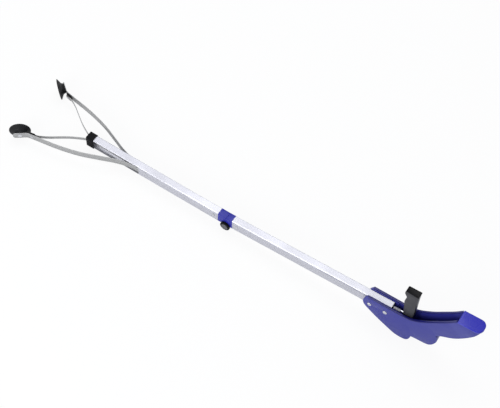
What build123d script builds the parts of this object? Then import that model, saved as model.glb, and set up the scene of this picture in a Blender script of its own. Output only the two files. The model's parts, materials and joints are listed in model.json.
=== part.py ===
from build123d import *
from math import atan2, cos, degrees, radians, sin
import os

# Folding reacher: two aluminium shafts joined by a lockable fold, a hooked handle with a
# trigger at one end, and a pair of sprung steel jaws with rubber cups at the other.
# Millimetres.  Lengths are measured along the shafts from the fold's pivot: minus towards
# the jaws, plus towards the handle.  Heights are measured from the shaft's centre line.

# ---- how it stands ---------------------------------------------------------------------
pivot_x = -17.67        # puts the middle of the whole length at the origin
front_tilt = 1.0        # degrees, jaws end down
rear_tilt = 4.5         # degrees, handle end up
cup_radius = 17.4
cup_reach = 367.9       # pivot to the middle of the cup's rim
axis_height = cup_radius * cos(radians(front_tilt)) + cup_reach * sin(radians(front_tilt))

# ---- shafts ----------------------------------------------------------------------------
shaft_width = 12.0
shaft_height = 21.0
shaft_wall = 1.0
shaft_corner = 1.0
front_shaft_end = 266.0
rear_shaft_end = 289.6
window_start = 166.0
window_edge = 1.4       # what is left of the side wall above and below the window
slide_gap = 0.1

# ---- fold ------------------------------------------------------------------------------
front_block = 15.0      # length of block that shows between the shafts, each side
rear_block = 12.0
plug_length = 16.0
pivot_drop = 9.5        # pivot below the centre line
knuckle_radius = 5.0
knuckle_gap = 0.4
tongue_width = 5.8
hinge_gap = 0.3
pin_radius = 2.4
running_gap = 0.05
bezel_radius = 8.4
bezel_depth = 3.6
button_radius = 5.6
button_travel = 1.8
button_proud = 0.9      # how far the button stands out of its ring
stem_radius = 1.2

# ---- cable -----------------------------------------------------------------------------
cable_radius = 0.8
cable_drop = 4.5        # below the centre line at the fold
cable_gap = 0.5
fit_gap = 0.1
link_half = 18.0        # the stretch that bends at the fold, each side of the pivot

# ---- handle ----------------------------------------------------------------------------
handle_width = 20.6
handle_wall = 2.7
rim_height = 11.0
belly_depth = 48.36
seat_past = 6.4         # how far past the shaft the handle's channel runs
cap_thickness = 3.0
cap_overhang = 0.9
cap_plug = 2.0
hollow_end = 130.4
rivets_before_end = (32.6, 6.6)
rivet_height = -3.0
rivet_radius = 2.0
rivet_head_radius = 3.5
rivet_head = 1.1

# ---- trigger ---------------------------------------------------------------------------
trigger_past = 25.9     # trigger's pivot, past the end of the rear shaft
trigger_pivot_height = -2.0
trigger_thickness = 10.4
trigger_top = 74.0
trigger_half = 10.2     # half its length along the shaft
trigger_travel = 42.0
pull_travel = 6.0
slot_width = 4.6
eye_width = 3.8
anchor_radius = 1.25
trigger_pin_radius = 2.0

# ---- jaws ------------------------------------------------------------------------------
band_width = 11.8
band_thickness = 0.9
root_offset = 4.3       # middle of the band's root from the centre line
root_length = 22.0
jaw_hinge = 176.0
cup_spread = 50.3       # middle of the cup's rim from the centre line
cup_angle = 52.3        # cup's axis, turned in from straight ahead
cup_depth = 9.7
cup_back_radius = 8.4
cup_lip = 2.0
tab_back = 9.0          # tab behind and ahead of the cup's middle
tab_ahead = 11.0
inner_width = 6.0
inner_thickness = 0.6
inner_offset = 1.1
nose_length = 13.4
nose_width = 14.4
nose_height = 23.0
nose_wall = 1.8
block_rivet_radius = 1.5
root_rivet_radius = 0.9
root_rivet_height = 4.4

os.makedirs("parts", exist_ok=True)


def side_plane(tilt):
    """Upright plane along a shaft: x along the shaft, y up, origin above the pivot."""
    lean = radians(tilt)
    pivot = Vector(pivot_x, 0, axis_height - pivot_drop)
    up = Vector(-sin(lean), 0, cos(lean))
    return Plane(origin=pivot + up * pivot_drop, x_dir=(cos(lean), 0, sin(lean)), z_dir=(0, -1, 0))


def deck(side, height):
    """Plane square to a shaft's side plane: x along the shaft, y across it."""
    origin = side.from_local_coords((0, height, 0))
    return Plane(origin=origin, x_dir=side.x_dir, z_dir=side.y_dir)


def section(side, x):
    """Plane across a shaft at x: x across, y up."""
    return Plane(origin=side.from_local_coords((x, 0, 0)), x_dir=(0, 1, 0), z_dir=side.x_dir)


def across(side, x, height, y):
    """Plane on a shaft's side plane, moved to a point, that faces across the shaft (+Y)."""
    return Plane(origin=side.from_local_coords((x, height, -y)), x_dir=side.x_dir, z_dir=(0, 1, 0))


def save(part, name):
    """Label a finished piece and write it."""
    part.label = name
    export_step(part, f"parts/{name}.step")


front = side_plane(front_tilt)
rear = side_plane(rear_tilt)
inner_w = shaft_width - 2 * shaft_wall
inner_h = shaft_height - 2 * shaft_wall
rivet_places = [rear_shaft_end - before for before in rivets_before_end]
trigger_x = rear_shaft_end + trigger_past
SIDES = (("near", -1), ("far", 1))
root_rivet_x = -window_start + root_length / 2 + 2

# ======================================================================== shafts and fold

with BuildPart() as rear_shaft:
    with BuildSketch(section(rear, rear_block)):
        RectangleRounded(shaft_width, shaft_height, shaft_corner)
        Rectangle(inner_w, inner_h, mode=Mode.SUBTRACT)
    extrude(amount=rear_shaft_end - rear_block)
    for x in rivet_places:
        with BuildSketch(across(rear, x, rivet_height, -shaft_width)):
            Circle(rivet_radius + running_gap)
        extrude(amount=2 * shaft_width, mode=Mode.SUBTRACT)
    with BuildSketch(across(rear, rear_block + plug_length / 2, 0, -shaft_width)):
        Circle(block_rivet_radius + running_gap)
    extrude(amount=2 * shaft_width, mode=Mode.SUBTRACT)
save(rear_shaft.part, "rear_shaft")

with BuildPart() as front_shaft:
    with BuildSketch(section(front, -front_shaft_end)):
        RectangleRounded(shaft_width, shaft_height, shaft_corner)
        Rectangle(inner_w, inner_h, mode=Mode.SUBTRACT)
    extrude(amount=front_shaft_end - front_block)
    window_length = front_shaft_end - window_start + 1
    with BuildSketch(front):
        with Locations((-window_start - window_length / 2, 0)):
            Rectangle(window_length, shaft_height - 2 * window_edge)
    extrude(amount=shaft_width, both=True, mode=Mode.SUBTRACT)
    with BuildSketch(across(front, -front_block - plug_length / 2, 0, -shaft_width)):
        Circle(block_rivet_radius + running_gap)
    extrude(amount=2 * shaft_width, mode=Mode.SUBTRACT)
    for height in (-root_rivet_height, root_rivet_height):
        with BuildSketch(across(front, root_rivet_x, height, -shaft_width)):
            Circle(root_rivet_radius + running_gap)
        extrude(amount=2 * shaft_width, mode=Mode.SUBTRACT)
save(front_shaft.part, "front_shaft")

# The blocks meet on the front shaft's square plane, so that the fold rests on its stop with
# the shafts a few degrees off straight.  Below the pivot's height they are cut away, which
# lets the shafts swing together.
cheek_inside = tongue_width / 2 + hinge_gap
pocket_radius = knuckle_radius + knuckle_gap
block_floor = -pivot_drop + 0.3
stop_gap = 0.15

with BuildPart() as rear_hinge_block:
    with BuildSketch(rear):
        with Locations((rear_block / 2, (shaft_height / 2 + block_floor) / 2)):
            Rectangle(rear_block, shaft_height / 2 - block_floor)
        with Locations((0, -pivot_drop)):
            Circle(knuckle_radius)
    extrude(amount=shaft_width / 2, both=True)
    with BuildSketch(front):
        with Locations((stop_gap - 10, 0)):
            Rectangle(20, 2 * (pivot_drop - knuckle_radius))
        with Locations((stop_gap - 10, shaft_height / 2)):
            Rectangle(20, 2 * shaft_height / 2 + 6)
    extrude(amount=shaft_width, both=True, mode=Mode.SUBTRACT)
    with BuildSketch(rear):
        with Locations((0, -pivot_drop)):
            Circle(pocket_radius)
    extrude(amount=cheek_inside, both=True, mode=Mode.SUBTRACT)
    with BuildSketch(section(rear, rear_block)):
        Rectangle(inner_w - 2 * slide_gap, inner_h - 2 * slide_gap)
    extrude(amount=plug_length)
    with BuildSketch(section(rear, -2)):
        with Locations((0, -cable_drop)):
            Circle(cable_radius + 2 * cable_gap)
    extrude(amount=rear_block + plug_length + 4, mode=Mode.SUBTRACT)
    with BuildSketch(across(rear, 0, -pivot_drop, -shaft_width)):
        Circle(pin_radius)
    extrude(amount=2 * shaft_width, mode=Mode.SUBTRACT)
    with BuildSketch(across(rear, rear_block + plug_length / 2, 0, -shaft_width)):
        Circle(block_rivet_radius)
    extrude(amount=2 * shaft_width, mode=Mode.SUBTRACT)
save(rear_hinge_block.part, "rear_hinge_block")

with BuildPart() as front_hinge_block:
    with BuildSketch(front):
        with Locations((-(front_block + stop_gap) / 2, (shaft_height / 2 + block_floor) / 2)):
            Rectangle(front_block - stop_gap, shaft_height / 2 - block_floor)
    extrude(amount=shaft_width / 2, both=True)
    with BuildSketch(front):
        with Locations((0, -pivot_drop)):
            Circle(pocket_radius)
    extrude(amount=shaft_width, both=True, mode=Mode.SUBTRACT)
    with BuildSketch(front):
        with Locations((0, -pivot_drop)):
            Circle(knuckle_radius)
        with BuildLine():
            Polyline((-front_block, block_floor), (0, -pivot_drop),
                     (-1.5, -2), (-front_block, -2), close=True)
        make_face()
    extrude(amount=tongue_width / 2, both=True)
    with BuildSketch(section(front, -front_block)):
        Rectangle(inner_w - 2 * slide_gap, inner_h - 2 * slide_gap)
    extrude(amount=-plug_length)
    with BuildSketch(section(front, -front_block - plug_length - 1)):
        with Locations((0, -cable_drop)):
            Circle(cable_radius + 2 * cable_gap)
    extrude(amount=front_block + plug_length + 10, mode=Mode.SUBTRACT)
    with BuildSketch(across(front, 0, -pivot_drop, -shaft_width)):
        Circle(pin_radius + running_gap)
    extrude(amount=2 * shaft_width, mode=Mode.SUBTRACT)
    with BuildSketch(across(front, -front_block - plug_length / 2, 0, -shaft_width)):
        Circle(block_rivet_radius)
    extrude(amount=2 * shaft_width, mode=Mode.SUBTRACT)
save(front_hinge_block.part, "front_hinge_block")

# Tubular pin through the knuckles, with a flat head on the far side.
with BuildPart() as hinge_pin:
    with BuildSketch(across(rear, 0, -pivot_drop, -shaft_width / 2 - hinge_gap)):
        Circle(pin_radius)
    extrude(amount=shaft_width + 2 * hinge_gap)
    with BuildSketch(across(rear, 0, -pivot_drop, shaft_width / 2 + hinge_gap)):
        Circle(knuckle_radius - 0.6)
    extrude(amount=1.3)
    with BuildSketch(across(rear, 0, -pivot_drop, -shaft_width)):
        Circle(stem_radius + running_gap)
    extrude(amount=shaft_width + 4, mode=Mode.SUBTRACT)
    fillet(hinge_pin.edges().filter_by(GeomType.CIRCLE).group_by(Axis.Y)[-1], 0.6)
save(hinge_pin.part, "hinge_pin")

# Black ring on the near side that carries the release button.
bezel_back = -shaft_width / 2 - hinge_gap
with BuildPart() as button_bezel:
    with BuildSketch(across(rear, 0, -pivot_drop, bezel_back)):
        Circle(bezel_radius)
    extrude(amount=-bezel_depth)
    fillet(button_bezel.edges().filter_by(GeomType.CIRCLE).group_by(Axis.Y)[0], 1.1)
    with BuildSketch(across(rear, 0, -pivot_drop, bezel_back - 1)):
        Circle(button_radius + hinge_gap)
    extrude(amount=-bezel_depth, mode=Mode.SUBTRACT)
    with BuildSketch(across(rear, 0, -pivot_drop, bezel_back + 1)):
        Circle(stem_radius + hinge_gap)
    extrude(amount=-bezel_depth, mode=Mode.SUBTRACT)
save(button_bezel.part, "button_bezel")

button_out = bezel_back - bezel_depth - button_proud
button_back = bezel_back - 1 - button_travel - 0.1
with BuildPart() as release_button:
    with BuildSketch(across(rear, 0, -pivot_drop, button_back)):
        Circle(button_radius)
    extrude(amount=button_out - button_back)
    with BuildSketch(across(rear, 0, -pivot_drop, button_back)):
        Circle(stem_radius)
    extrude(amount=shaft_width - 1)
save(release_button.part, "release_button")

for name, side, x in (("rear_block_rivet", rear, rear_block + plug_length / 2),
                      ("front_block_rivet", front, -front_block - plug_length / 2)):
    with BuildPart() as block_rivet:
        with BuildSketch(across(side, x, 0, -shaft_width / 2 - 0.5)):
            Circle(block_rivet_radius)
        extrude(amount=shaft_width + 1)
        for end, way in ((-shaft_width / 2, -1), (shaft_width / 2, 1)):
            with BuildSketch(across(side, x, 0, end)):
                Circle(block_rivet_radius + 0.9)
            extrude(amount=0.7 * way)
    save(block_rivet.part, name)

# ================================================================================= handle
# Outline of the hooked shell and of the hollow in it: distances past the end of the rear
# shaft, and heights above its centre line.
tail_top = 73.0
rim_points = [(10.4, rim_height), (32.4, 12.5), (54.7, 27), (75.4, 47), (88.8, 61), (98.4, tail_top)]
grip_points = [(134.4, tail_top), (122.7, 53.6), (110.3, 37), (96.8, 23.9), (82.4, 14.6), (74.6, 7.4)]
tang_points = [(74.6, 7.4), (79, -4.2), (76, -15.6), (68.9, -25.8), (56.4, -28.6), (39.4, -30.5)]
lobe_points = [(39.4, -30.5), (37.9, -38.9), (32.9, -46.6), (25.7, -belly_depth), (17.1, -47.8), (8.3, -44.4)]
belly_points = [(8.3, -44.4), (-10.5, -33.2), (-29.2, -20.4), (-39, -12.6)]
tip_points = [(-39, -12.6), (-43.6, -3), (-37.6, rim_height + 1.5)]


inside_width = handle_width - 2 * handle_wall
channel_width = shaft_width + 2 * slide_gap
channel_past = 97.0     # longer than the shell in front of it
pin_reach = inside_width / 2 + 1.3
web = -shaft_height / 2 - slide_gap - handle_wall
hollow_points = [(-19.6, web), (-19.6, -23.6), (-10.1, -30.2), (-1.1, -35.7), (7.4, -40.8), (17.4, -44.9),
                 (25.4, -45.9), (30.9, -44.3), (34.9, -38), (36.4, -28), (56.4, -25.7), (66.9, -23),
                 (73, -14.6), (76.1, -4.3), (71.8, 7.6), (80.9, 17.2), (95.1, 26.6), (108, 39.4),
                 (119.8, 55.4), (hollow_end, tail_top), (hollow_end, 120), (seat_past, 120), (seat_past, web)]
tail_round = 9.5


def past_shaft(points):
    """Outline points moved to where the rear shaft ends."""
    return [(rear_shaft_end + x, height) for x, height in points]


rim, grip, tang, lobe, belly, blade, hollow = [
    past_shaft(points) for points in (rim_points, grip_points, tang_points, lobe_points,
                                      belly_points, tip_points, hollow_points)]
tail_end = grip[0][0]


def tail_plan(grow, mode):
    """Outline of the tail seen from above, round at its end."""
    straight = 100.0
    with Locations((tail_end - tail_round - straight / 2, 0)):
        Rectangle(straight, handle_width + 2 * grow, mode=mode)
    with Locations((tail_end + grow - tail_round, 0)):
        RectangleRounded(2 * tail_round, handle_width + 2 * grow, tail_round - 0.1, mode=mode)


with BuildPart() as handle_shell:
    with BuildSketch(rear):
        with BuildLine():
            Line(blade[-1], rim[0])
            Spline(*rim, tangents=[(1, 0), (1, 1.2)])
            Line(rim[-1], grip[0])
            Spline(*grip)
            Spline(*tang)
            Spline(*lobe)
            Spline(*belly)
            Spline(*blade)
        make_face()
    extrude(amount=handle_width / 2, both=True)
    with BuildSketch(rear):
        with BuildLine():
            Polyline(*hollow, close=True)
        make_face()
    extrude(amount=inside_width / 2, both=True, mode=Mode.SUBTRACT)
    with BuildSketch(section(rear, rear_shaft_end + seat_past + 1 - channel_past)):
        with Locations((0, 20 - shaft_height / 2 - slide_gap)):
            Rectangle(channel_width, 40)
    extrude(amount=channel_past, mode=Mode.SUBTRACT)
    with BuildSketch(deck(rear, 30)):
        with Locations((tail_end, 0)):
            Rectangle(2 * tail_round, 2 * handle_width)
        tail_plan(0, Mode.SUBTRACT)
    extrude(amount=tail_top, mode=Mode.SUBTRACT)
    for x in rivet_places:
        with BuildSketch(across(rear, x, rivet_height, -handle_width)):
            Circle(rivet_radius)
        extrude(amount=2 * handle_width, mode=Mode.SUBTRACT)
    with BuildSketch(across(rear, trigger_x, trigger_pivot_height, -pin_reach)):
        Circle(trigger_pin_radius)
    extrude(amount=2 * pin_reach, mode=Mode.SUBTRACT)
save(handle_shell.part, "handle_shell")

# Lid that closes the tail: an oval plate with a plug inside the shell.
cap_start = rim[-1][0] + 0.5
plug_end = rear_shaft_end + hollow_end - 2.5
with BuildPart() as end_cap:
    with BuildSketch(deck(rear, tail_top)):
        tail_plan(cap_overhang, Mode.ADD)
        with Locations((cap_start - 60, 0)):
            Rectangle(120, 2 * handle_width, mode=Mode.SUBTRACT)
    extrude(amount=cap_thickness)
    fillet(end_cap.faces().sort_by(Axis((0, 0, 0), rear.y_dir))[-1].edges(), 1.2)
    with BuildSketch(deck(rear, tail_top)):
        with Locations(((cap_start + plug_end) / 2, 0)):
            Rectangle(plug_end - cap_start, inside_width - 2 * slide_gap)
    extrude(amount=-cap_plug)
save(end_cap.part, "end_cap")

with BuildPart() as handle_rivets:
    for x in rivet_places:
        with BuildSketch(across(rear, x, rivet_height, -handle_width / 2)):
            Circle(rivet_radius)
        extrude(amount=handle_width)
        for end, way in ((-handle_width / 2, -1), (handle_width / 2, 1)):
            with BuildSketch(across(rear, x, rivet_height, end)):
                Circle(rivet_head_radius)
            extrude(amount=rivet_head * way)
    fillet(handle_rivets.edges().filter_by(GeomType.CIRCLE).group_by(Axis.Y)[0], 0.7)
    fillet(handle_rivets.edges().filter_by(GeomType.CIRCLE).group_by(Axis.Y)[-1], 0.7)
save(handle_rivets.part, "handle_rivets")

# ================================================================================ trigger
swing = radians(trigger_travel / 2)
pull_arm = pull_travel / (2 * sin(swing))
anchor_x = trigger_x - pull_arm * sin(swing)
anchor_height = trigger_pivot_height + pull_arm * cos(swing)
hub_radius = 6.5

with BuildPart() as trigger:
    left, right = trigger_x - trigger_half, trigger_x + trigger_half
    hub_left, hub_right = trigger_x - hub_radius, trigger_x + hub_radius
    with BuildSketch(rear):
        with BuildLine():
            Line((left + 0.2, trigger_top), (right + 0.3, trigger_top))
            Spline((right + 0.3, trigger_top), (right - 1.1, 53), (right - 1.5, 24),
                   (hub_right, trigger_pivot_height))
            ThreePointArc((hub_right, trigger_pivot_height), (trigger_x, trigger_pivot_height - hub_radius),
                          (hub_left, trigger_pivot_height))
            Spline((hub_left, trigger_pivot_height), (left + 2.2, 26), (left + 1.2, 42), (left + 1.2, 49.5),
                   (left + 3.3, 57.5), (left, 65), (left + 0.2, trigger_top))
        make_face()
    extrude(amount=trigger_thickness / 2, both=True)
    with BuildSketch(rear):
        with Locations((anchor_x - 15 + 5.4, anchor_height - 15 + 5.4)):
            Rectangle(30, 30)
    extrude(amount=slot_width / 2, both=True, mode=Mode.SUBTRACT)
    for x, height, radius in ((trigger_x, trigger_pivot_height, trigger_pin_radius + running_gap),
                              (anchor_x, anchor_height, anchor_radius)):
        with BuildSketch(across(rear, x, height, -handle_width)):
            Circle(radius)
        extrude(amount=2 * handle_width, mode=Mode.SUBTRACT)
save(trigger.part, "trigger")

with BuildPart() as trigger_pin:
    with BuildSketch(across(rear, trigger_x, trigger_pivot_height, -pin_reach)):
        Circle(trigger_pin_radius)
    extrude(amount=2 * pin_reach)
save(trigger_pin.part, "trigger_pin")

with BuildPart() as anchor_pin:
    with BuildSketch(across(rear, anchor_x, anchor_height, -trigger_thickness / 2)):
        Circle(anchor_radius)
    extrude(amount=trigger_thickness)
save(anchor_pin.part, "anchor_pin")

# ================================================================================== cable
# It climbs through the rear shaft from just over the fold's pivot to the trigger's anchor.
climb = atan2(anchor_height + cable_drop, anchor_x - link_half)
clevis_tail = 9.5
cable_start = Vector(link_half + fit_gap, -cable_drop)
cable_way = Vector(cos(climb), sin(climb))


def cable_plane(distance):
    """Plane square to the rear cable, so far along it from the link."""
    spot = cable_start + cable_way * distance
    flow = (rear.from_local_coords(spot + cable_way) - rear.from_local_coords(spot)).normalized()
    return Plane(origin=rear.from_local_coords((spot.X, spot.Y, 0)), x_dir=(0, 1, 0), z_dir=flow)


cable_length = (Vector(anchor_x, anchor_height) - cable_start).length - clevis_tail
with BuildPart() as rear_cable:
    with BuildSketch(cable_plane(0)):
        Circle(cable_radius)
    extrude(amount=cable_length)
save(rear_cable.part, "rear_cable")

with BuildPart() as cable_clevis:
    with BuildSketch(cable_plane(cable_length)):
        Circle(2.0)
    extrude(amount=clevis_tail - 3.2)
    with BuildSketch(rear):
        with Locations((anchor_x, anchor_height)):
            Circle(3.8)
        with BuildLine():
            Polyline((anchor_x - 5.8, anchor_height - 2), (anchor_x, anchor_height - 3.8),
                     (anchor_x, anchor_height + 3.8), (anchor_x - 5.8, anchor_height + 2), close=True)
        make_face()
    extrude(amount=eye_width / 2, both=True)
    with BuildSketch(rear):
        with Locations((anchor_x, anchor_height)):
            Circle(anchor_radius + 0.6)
    extrude(amount=eye_width, both=True, mode=Mode.SUBTRACT)
save(cable_clevis.part, "cable_clevis")

guide_length = 12.0
guide_height = anchor_height - (anchor_x - rear_shaft_end + 3) * sin(climb) / cos(climb)
with BuildPart() as shaft_guide:
    with BuildSketch(section(rear, rear_shaft_end - guide_length)):
        Rectangle(inner_w - 2 * slide_gap, inner_h - 2 * slide_gap)
    extrude(amount=guide_length + 0.8)
    with BuildSketch(section(rear, rear_shaft_end - guide_length - 1)):
        with Locations((0, guide_height)):
            Circle(cable_radius + 1.5 * cable_gap)
    extrude(amount=guide_length + 4, mode=Mode.SUBTRACT)
    for x in rivet_places:
        with BuildSketch(across(rear, x, rivet_height, -handle_width)):
            Circle(rivet_radius + running_gap)
        extrude(amount=2 * handle_width, mode=Mode.SUBTRACT)
save(shaft_guide.part, "shaft_guide")

spring_start = (rear_shaft_end + 1.2 - link_half) / cos(climb)
with BuildPart() as trigger_spring:
    with BuildSketch(cable_plane(spring_start)):
        Circle(2.4)
        Circle(cable_radius + 0.5, mode=Mode.SUBTRACT)
    extrude(amount=cable_length - spring_start - 0.1)
save(trigger_spring.part, "trigger_spring")

with BuildPart() as cable_link:
    with BuildSketch(section(front, -link_half)):
        with Locations((0, -cable_drop)):
            Circle(cable_radius)
    extrude(amount=link_half)
    with BuildSketch(section(rear, 0)):
        with Locations((0, -cable_drop)):
            Circle(cable_radius)
    extrude(amount=link_half)
    with Locations(front.from_local_coords((0, -cable_drop, 0)), rear.from_local_coords((0, -cable_drop, 0))):
        Sphere(cable_radius)
save(cable_link.part, "cable_link")

slider_front = 136.0
slider_back = 118.0
with BuildPart() as front_cable:
    with BuildSketch(section(front, -slider_back - 8)):
        with Locations((0, -cable_drop)):
            Circle(cable_radius)
    extrude(amount=slider_back + 8 - link_half)
save(front_cable.part, "front_cable")

with BuildPart() as cable_crimp:
    with BuildSketch(section(front, -slider_back)):
        with Locations((0, -cable_drop)):
            Circle(1.9)
            Circle(cable_radius, mode=Mode.SUBTRACT)
    extrude(amount=6)
save(cable_crimp.part, "cable_crimp")

tail_slot = inner_offset + inner_thickness / 2 + 0.1
slider_rivet_x = -slider_front + 6
with BuildPart() as pull_slider:
    with BuildSketch(section(front, -slider_front)):
        Rectangle(inner_w - 0.3, inner_h - 0.3)
    extrude(amount=slider_front - slider_back)
    with BuildSketch(section(front, -slider_front - 1)):
        Rectangle(2 * tail_slot, inner_width + 0.3)
    extrude(amount=slider_front - slider_back - 5, mode=Mode.SUBTRACT)
    with BuildSketch(section(front, -slider_back - 9)):
        with Locations((0, -cable_drop)):
            Circle(cable_radius)
    extrude(amount=12, mode=Mode.SUBTRACT)
    with BuildSketch(across(front, slider_rivet_x, 0, -shaft_width)):
        Circle(root_rivet_radius)
    extrude(amount=2 * shaft_width, mode=Mode.SUBTRACT)
save(pull_slider.part, "pull_slider")

with BuildPart() as slider_rivet:
    with BuildSketch(across(front, slider_rivet_x, 0, -inner_w / 2 + 0.2)):
        Circle(root_rivet_radius)
    extrude(amount=inner_w - 0.4)
save(slider_rivet.part, "slider_rivet")

# =================================================================================== jaws
root_inside = root_offset - band_thickness / 2
with BuildPart() as root_block:
    with BuildSketch(section(front, -window_start + 1)):
        Rectangle(2 * root_inside - 0.1, inner_h - 2 * slide_gap)
        Rectangle(2 * inner_offset + inner_thickness + 0.9, inner_width + 0.6, mode=Mode.SUBTRACT)
    extrude(amount=root_length)
    for height in (-root_rivet_height, root_rivet_height):
        with BuildSketch(across(front, root_rivet_x, height, -shaft_width)):
            Circle(root_rivet_radius)
        extrude(amount=2 * shaft_width, mode=Mode.SUBTRACT)
save(root_block.part, "root_block")

with BuildPart() as root_rivets:
    for height in (-root_rivet_height, root_rivet_height):
        with BuildSketch(across(front, root_rivet_x, height, -shaft_width / 2)):
            Circle(root_rivet_radius)
        extrude(amount=shaft_width)
        for end, way in ((-shaft_width / 2, -1), (shaft_width / 2, 1)):
            with BuildSketch(across(front, root_rivet_x, height, end)):
                Circle(root_rivet_radius + 0.7)
            extrude(amount=0.5 * way)
save(root_rivets.part, "root_rivets")

with BuildPart() as nose_cap:
    with BuildSketch(section(front, -front_shaft_end - nose_wall)):
        RectangleRounded(nose_width, nose_height, 1.8)
    extrude(amount=nose_length)
    with BuildSketch(section(front, -front_shaft_end - 0.1)):
        Rectangle(shaft_width + 2 * slide_gap, shaft_height + 2 * slide_gap)
    extrude(amount=nose_length, mode=Mode.SUBTRACT)
    with BuildSketch(section(front, -front_shaft_end - nose_wall - 1)):
        Rectangle(shaft_width - 2, inner_width + 3)
    extrude(amount=nose_length, mode=Mode.SUBTRACT)
save(nose_cap.part, "nose_cap")

lean = radians(cup_angle)
tail_join = 256.0
straight_start = Vector(-334, 47.9)
straight_end = Vector(-346.5, 49.9)
pad_thickness = 2.8
pad_length = 9.6
tip_radius = 1.2
cup_hole = 1.6
cup_floor = 4.5

for name, s in SIDES:
    def spot(x, y, height=0.0):
        """A point of this jaw, y measured outwards."""
        return front.from_local_coords((x, height, -s * y))

    def turned(v):
        """This jaw's copy of a point in plan."""
        return Vector(v.X, s * v.Y)

    ahead = Vector(-sin(lean), cos(lean))       # along the tab, forward and out
    back = Vector(cos(lean), sin(lean))         # the way the cup's back faces
    rim_middle = Vector(-cup_reach, cup_spread)
    back_middle = rim_middle + back * cup_depth
    tab_middle = back_middle + back * (band_thickness / 2)
    tab_start = tab_middle - ahead * tab_back
    tab_end = tab_middle + ahead * tab_ahead
    flat = (straight_end - straight_start).normalized()
    inward = Vector(-flat.Y, flat.X)
    tip = straight_end - flat * 2.4
    behind = back_middle + back
    cup_out = (spot(behind.X, behind.Y) - spot(back_middle.X, back_middle.Y)).normalized()
    tip_out = (spot((tip - inward).X, (tip - inward).Y) - spot(tip.X, tip.Y)).normalized()

    def cup_plane(distance):
        """Plane square to the cup's axis, so far behind its rim."""
        at = rim_middle + back * distance
        return Plane(origin=spot(at.X, at.Y), x_dir=front.y_dir, z_dir=cup_out)

    def tip_plane(distance):
        """Plane square to the tip's rivet, so far inside the outer band's middle."""
        at = tip + inward * distance
        return Plane(origin=spot(at.X, at.Y), x_dir=front.y_dir, z_dir=tip_out)

    with BuildPart() as band_root:
        with BuildSketch(deck(front, 0)):
            with Locations(((-window_start + root_length - jaw_hinge) / 2, s * root_offset)):
                Rectangle(root_length + jaw_hinge - window_start - 0.3, band_thickness)
        extrude(amount=band_width / 2, both=True)
        for height in (-root_rivet_height, root_rivet_height):
            with BuildSketch(across(front, root_rivet_x, height, -shaft_width)):
                Circle(root_rivet_radius)
            extrude(amount=2 * shaft_width, mode=Mode.SUBTRACT)
    save(band_root.part, f"band_root_{name}")

    with BuildPart() as outer_band:
        with BuildSketch(deck(front, 0)):
            with BuildLine() as path:
                bow = [Vector(-jaw_hinge - 0.3, root_offset), Vector(-204, 10), Vector(-232, 21.1),
                       Vector(-262.9, 33), Vector(-297, 41.7), straight_start]
                Spline(*[turned(p) for p in bow], tangents=[Vector(-1, 0), turned(flat)])
                Line(turned(straight_start), turned(straight_end))
                TangentArc(turned(straight_end), turned(tab_start), tangent=turned(flat))
                Line(turned(tab_start), turned(tab_end))
            trace(path.line, line_width=band_thickness)
        extrude(amount=band_width / 2, both=True)
        with BuildSketch(cup_plane(0)):
            Circle(cup_hole)
        extrude(amount=cup_depth + 4, mode=Mode.SUBTRACT)
        with BuildSketch(tip_plane(1.5)):
            Circle(tip_radius)
        extrude(amount=3, mode=Mode.SUBTRACT)
    save(outer_band.part, f"outer_band_{name}")

    pad_middle = band_thickness / 2 + fit_gap + pad_thickness / 2
    with BuildPart() as tip_pad:
        pad_at = tip + inward * pad_middle
        with BuildSketch(Plane(origin=spot(pad_at.X, pad_at.Y), x_dir=tip_out, z_dir=front.y_dir)):
            RectangleRounded(pad_thickness, pad_length, 0.9)
        extrude(amount=band_width / 2 - 0.3, both=True)
        with BuildSketch(tip_plane(8)):
            Circle(tip_radius)
        extrude(amount=12, mode=Mode.SUBTRACT)
    save(tip_pad.part, f"tip_pad_{name}")

    inner_middle = pad_middle + pad_thickness / 2 + fit_gap + inner_thickness / 2
    inner_end = tip + inward * inner_middle + flat * (pad_length / 2)
    inner_bend = tip + inward * inner_middle - flat * (pad_length / 2 - 0.5)
    with BuildPart() as inner_band:
        with BuildSketch(deck(front, 0)):
            with BuildLine() as path:
                sweep_in = [Vector(-tail_join - 0.2, inner_offset), Vector(-268, 3.2), Vector(-280, 8.5),
                            Vector(-295, 17), Vector(-310, 27.5), Vector(-326, 38.5), inner_bend]
                Spline(*[turned(p) for p in sweep_in], tangents=[Vector(-1, 0), turned(flat)])
                Line(turned(inner_bend), turned(inner_end))
            trace(path.line, line_width=inner_thickness)
        extrude(amount=inner_width / 2, both=True)
        with BuildSketch(tip_plane(8)):
            Circle(tip_radius)
        extrude(amount=12, mode=Mode.SUBTRACT)
    save(inner_band.part, f"inner_band_{name}")

    with BuildPart() as inner_tail:
        with BuildSketch(deck(front, 0)):
            with Locations((-(tail_join + slider_back + 7) / 2, s * inner_offset)):
                Rectangle(tail_join - slider_back - 7, inner_thickness)
        extrude(amount=inner_width / 2, both=True)
        with BuildSketch(across(front, slider_rivet_x, 0, -shaft_width)):
            Circle(root_rivet_radius)
        extrude(amount=2 * shaft_width, mode=Mode.SUBTRACT)
    save(inner_tail.part, f"inner_tail_{name}")

    with BuildPart() as tip_rivet:
        low = inner_middle + inner_thickness / 2
        with BuildSketch(tip_plane(low + 0.7)):
            Circle(2.2)
        extrude(amount=0.7)
        with BuildSketch(tip_plane(low)):
            Circle(tip_radius)
        extrude(amount=low + band_thickness / 2)
        with BuildSketch(tip_plane(-band_thickness / 2)):
            Circle(2.4)
        extrude(amount=0.9)
    save(tip_rivet.part, f"tip_rivet_{name}")

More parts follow.
